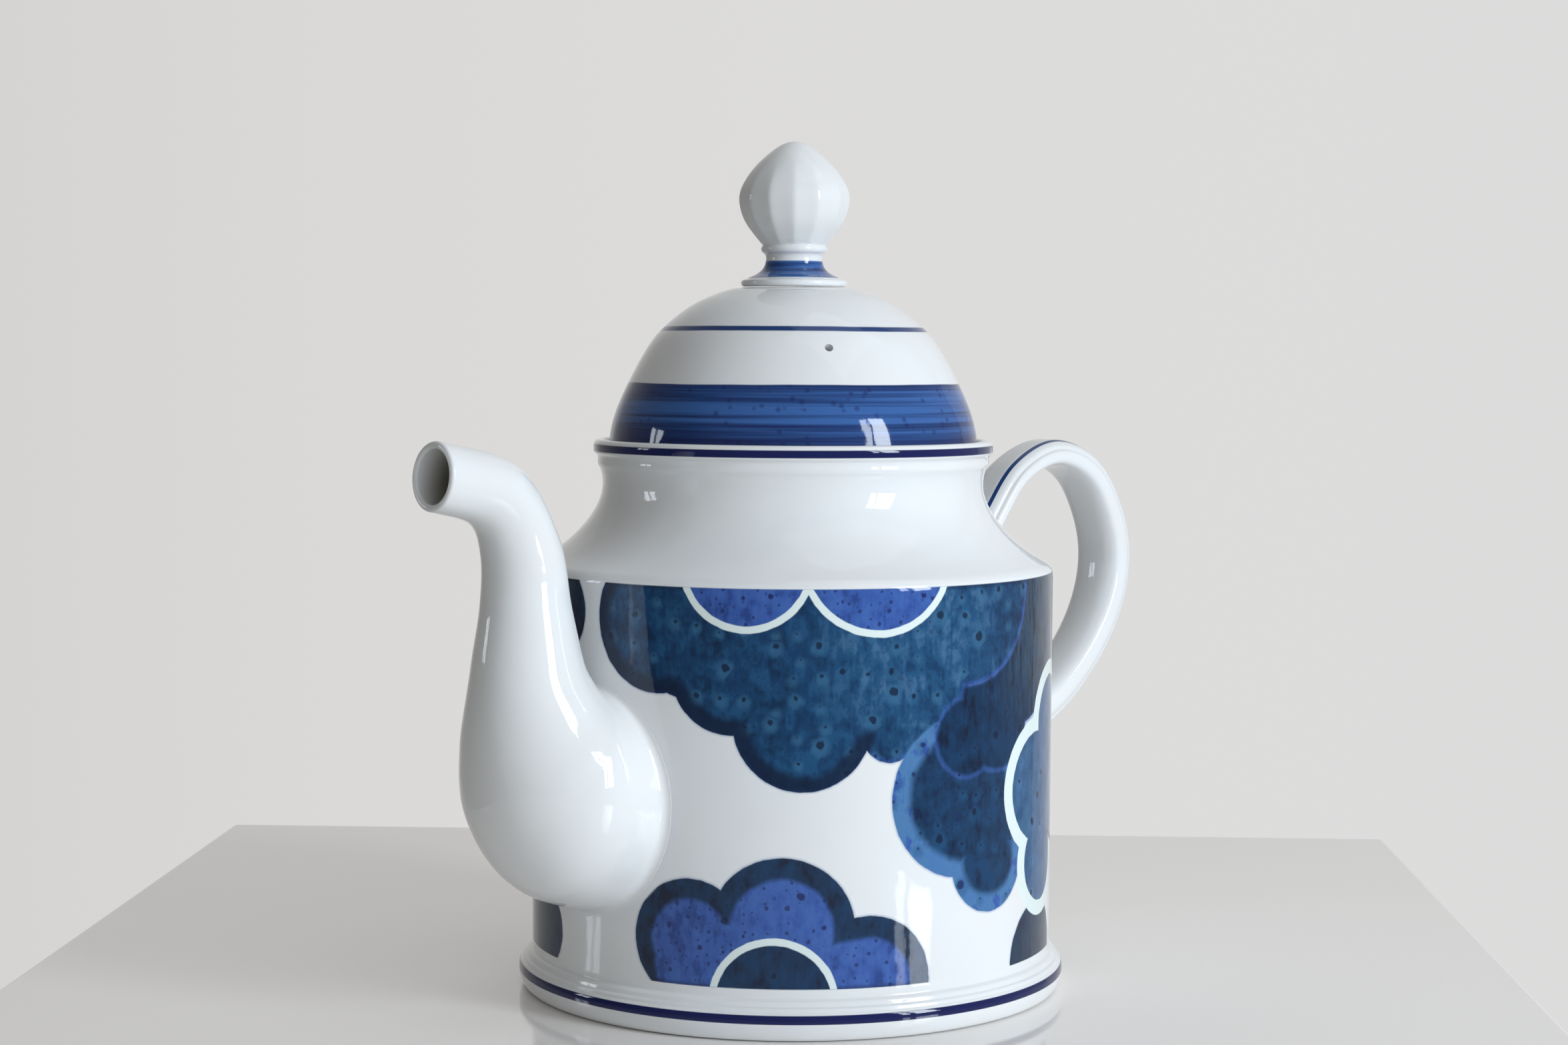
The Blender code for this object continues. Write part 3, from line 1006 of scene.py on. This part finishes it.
def makeKnob(k):
    bm = turned(withRows(rounded(k["outline"]), 0.6), k["turns"])
    for vert in bm.verts:
        across = Vector((vert.co.x - axisX, vert.co.y))
        height = vert.co.z / mm
        if height > k["fluteFrom"] and across.length > 1e-5:
            rise = (height - k["fluteFrom"]) / (k["fluteTo"] - k["fluteFrom"])
            fade = math.sin(math.pi * min(rise * k["fadeRate"] + k["fadeStart"], 1.0))
            fade = fade ** k["fadePower"]
            turn = math.atan2(across.y, across.x) - math.radians(k["ridgeAt"])
            # narrow ridges with round hollows between, softened by the glaze
            wave = math.sin(k["flutes"] / 2 * turn)
            hollow = math.sqrt(wave ** 2 + k["ridgeSoftness"]) - k["hollowFrom"]
            across *= 1 - k["fluteDepth"] * mm * fade * hollow / across.length
            vert.co.x, vert.co.y = axisX + across.x, across.y
    asPiece("lid_knob", bm, knobGlaze(), "lid", "finial_glaze", "lid_finial")


makeKnob(knob)


studio = {
    "plinth": (0.365, 0.52, 0.40),      # width, depth, height of the pale block the pot stands on
    "plinthBevel": 0.0015,
    "plinthAhead": -0.052,              # its middle, from the pot's axis: away from the camera
    "plinthAside": -0.007,              # and to the right
    "plinthTurn": -2.4,
    "plinthTone": (0.93, 0.90, 0.87),
    "plinthRoughness": 0.09,
    "plinthRefraction": 1.7,
    "lightTone": (0.87, 0.95, 1.02),
    "lightsAimAt": 0.11,                # height on the pot's axis
    # the room's tone by direction, in degrees round from the spout and in rising order, and the
    # last one only bends the curve that leads up to it
    "room": [
        (-180, (0.48, 0.48, 0.48)), (-155, (0.74, 0.735, 0.735)), (-132, (0.72, 0.715, 0.71)),
        (-112, (0.68, 0.67, 0.66)), (-98, (0.36, 0.35, 0.335)), (-75, (0.19, 0.18, 0.165)),
        (-40, (0.09, 0.08, 0.07)), (-5, (0.12, 0.11, 0.10)), (179.96, (0.48, 0.48, 0.48)),
        (180, (0.11, 0.11, 0.11)),
    ],
}

lights = {
    "rightPane": {"turn": 104, "rise": 16, "distance": 1.10, "size": (0.20, 0.56), "watts": 5.4},
    "middlePane": {"turn": 95, "rise": 16, "distance": 1.10, "size": (0.07, 0.56), "watts": 1.4},
    "leftPane": {"turn": -43, "rise": 9, "distance": 1.20, "size": (0.08, 0.28), "watts": 0.4},
    "farLeftPane": {"turn": -48, "rise": 9, "distance": 1.20, "size": (0.08, 0.28), "watts": 0.4},
    "ceiling": {"turn": 120, "rise": 70, "distance": 1.20, "size": (0.9, 0.8), "watts": 1.3},
    # daylight from the rest of the room, too broad to show as a reflection
    "daylight": {"turn": 79, "rise": 4, "distance": 1.40, "size": (1.2, 0.9), "watts": 7.2,
                 "mirrored": False},
}


def addLight(name, facts):
    a = math.radians(facts["turn"])
    rise = math.radians(facts["rise"])
    way = Vector((math.cos(a) * math.cos(rise), math.sin(a) * math.cos(rise), math.sin(rise)))
    data = bpy.data.lights.new(name, "AREA")
    data.shape = "RECTANGLE"
    data.size, data.size_y = facts["size"]
    data.energy = facts["watts"]
    data.color = studio["lightTone"]
    obj = bpy.data.objects.new(name, data)
    bpy.context.scene.collection.objects.link(obj)
    obj.location = Vector((axisX, 0, studio["lightsAimAt"])) + way * facts["distance"]
    obj.rotation_euler = way.to_track_quat("Z", "Y").to_euler()
    obj.visible_glossy = facts.get("mirrored", True)


def plinthMaterial(s):
    material = bpy.data.materials.new("plinth")
    material.use_nodes = True
    shader = material.node_tree.nodes["Principled BSDF"]
    shader.inputs["Base Color"].default_value = colour(s["plinthTone"])
    shader.inputs["Roughness"].default_value = s["plinthRoughness"]
    shader.inputs["IOR"].default_value = s["plinthRefraction"]
    return material


def addPlinth(s):
    bm = bmesh.new()
    bmesh.ops.create_cube(bm, size=1)
    bmesh.ops.scale(bm, vec=s["plinth"], verts=bm.verts)
    bmesh.ops.bevel(bm, geom=bm.edges, offset=s["plinthBevel"], affect="EDGES", segments=3,
                    profile=0.5, material=-1)
    ahead = math.radians(camera["roundFromSpout"]) + math.pi
    aside = ahead - math.pi / 2
    middle = (Vector((math.cos(ahead), math.sin(ahead), 0)) * s["plinthAhead"]
              + Vector((math.cos(aside), math.sin(aside), 0)) * s["plinthAside"]
              + Vector((axisX, 0, -s["plinth"][2] / 2)))
    turn = Matrix.Rotation(aside + math.radians(s["plinthTurn"]), 4, "Z")
    bmesh.ops.transform(bm, verts=bm.verts, matrix=Matrix.Translation(middle) @ turn)
    mesh = bpy.data.meshes.new("plinth")
    bm.to_mesh(mesh)
    bm.free()
    mesh.materials.append(plinthMaterial(s))
    obj = bpy.data.objects.new("plinth", mesh)
    bpy.context.scene.collection.objects.link(obj)


def addWorld(s):
    world = bpy.data.worlds.new("studio")
    bench = Bench(world, "Generated")
    x = bench.split(bench.place, 0)
    y = bench.split(bench.place, 1)
    share = y.maths("ARCTAN2", x) / math.tau + 0.5
    stops = [(degrees / 360 + 0.5, tone) for degrees, tone in s["room"]]
    tone = bench.node("ShaderNodeValToRGB", {"stops": stops}, {0: share})
    bench.tree.links.new(tone.socket, bench.tree.nodes["Background"].inputs["Color"])
    bpy.context.scene.world = world


addPlinth(studio)
addWorld(studio)
for name in lights:
    addLight(name, lights[name])
bpy.context.scene.view_settings.view_transform = "Standard"
print("stage lit")
